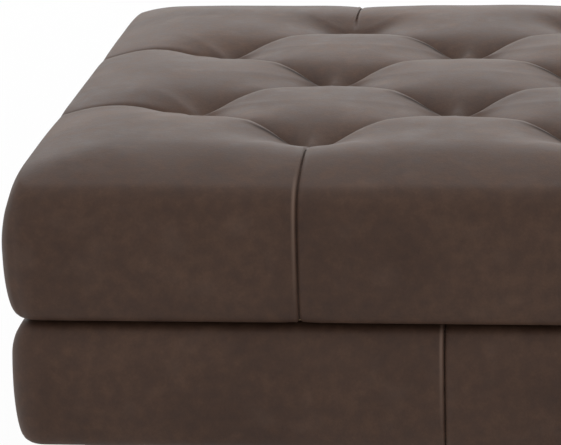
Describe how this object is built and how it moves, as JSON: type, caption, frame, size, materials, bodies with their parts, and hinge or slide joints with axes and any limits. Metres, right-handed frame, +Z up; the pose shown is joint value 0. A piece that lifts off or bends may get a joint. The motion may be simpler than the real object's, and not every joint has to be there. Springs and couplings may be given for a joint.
{
  "type": "ottoman coffee table",
  "caption": "Large rectangular upholstered ottoman used as a coffee table, with a thick diamond-tufted leather top on a shallower leather-covered base and short tapered wooden legs.",
  "frame": {"origin": "on the floor, under the middle of the table", "axes": "+X to the right along the table's length, +Y to the back, +Z up; the front faces -Y"},
  "size_m": [1.23, 0.918, 0.432],
  "materials": {
    "leather": "matte",
    "foam": "matte",
    "plywood": "matte",
    "frame_wood": "matte",
    "leg_wood": "satin",
    "steel": "satin",
    "plate_steel": "satin",
    "twine": "matte",
    "dust_cloth": "matte",
    "glide_plastic": "matte"
  },
  "bodies": {
    "ottoman": {"tufted_top_cover": "leather", "base_front_panel": "leather", "base_left_wrap": "leather", "base_right_wrap": "leather", "base_back_panel": "leather", "top_foam_core": "foam", "front_base_pad": "foam", "back_base_pad": "foam", "left_base_pad": "foam", "right_base_pad": "foam", "top_deck_board": "plywood", "front_rail": "frame_wood", "back_rail": "frame_wood", "left_rail": "frame_wood", "right_rail": "frame_wood", "centre_cross_rail": "frame_wood", "corner_block_front_left": "frame_wood", "corner_block_front_right": "frame_wood", "corner_block_back_left": "frame_wood", "corner_block_back_right": "frame_wood", "top_cleat_front_left": "frame_wood", "top_cleat_front_right": "frame_wood", "top_cleat_back_left": "frame_wood", "top_cleat_back_right": "frame_wood", "leg_front_left": "leg_wood", "leg_front_right": "leg_wood", "leg_back_left": "leg_wood", "leg_back_right": "leg_wood", "tuft_anchor_washers": "steel", "top_cover_staples": "steel", "deck_tee_nuts": "steel", "rail_screws": "steel", "cross_rail_screws": "steel", "cleat_screws": "steel", "top_fixing_bolts": "steel", "top_fixing_washers": "steel", "leg_plate_screws": "steel", "hanger_bolts": "steel", "leg_inserts": "steel", "base_cover_staples": "steel", "dust_cover_staples": "steel", "leg_plate_front_left": "plate_steel", "leg_plate_front_right": "plate_steel", "leg_plate_back_left": "plate_steel", "leg_plate_back_right": "plate_steel", "tuft_ties": "twine", "dust_cover": "dust_cloth"},
    "glide_front_left": {"glide_foot_front_left": "glide_plastic", "glide_stem_front_left": "steel"},
    "glide_front_right": {"glide_foot_front_right": "glide_plastic", "glide_stem_front_right": "steel"},
    "glide_back_left": {"glide_foot_back_left": "glide_plastic", "glide_stem_back_left": "steel"},
    "glide_back_right": {"glide_foot_back_right": "glide_plastic", "glide_stem_back_right": "steel"}
  },
  "joints": [
    {"name": "glide_front_left_travel", "type": "slide", "parent": "ottoman", "child": "glide_front_left", "axis": [0, 0, -1], "range_m": [0, 0.01]},
    {"name": "glide_front_right_travel", "type": "slide", "parent": "ottoman", "child": "glide_front_right", "axis": [0, 0, -1], "range_m": [0, 0.01]},
    {"name": "glide_back_left_travel", "type": "slide", "parent": "ottoman", "child": "glide_back_left", "axis": [0, 0, -1], "range_m": [0, 0.01]},
    {"name": "glide_back_right_travel", "type": "slide", "parent": "ottoman", "child": "glide_back_right", "axis": [0, 0, -1], "range_m": [0, 0.01]}
  ]
}
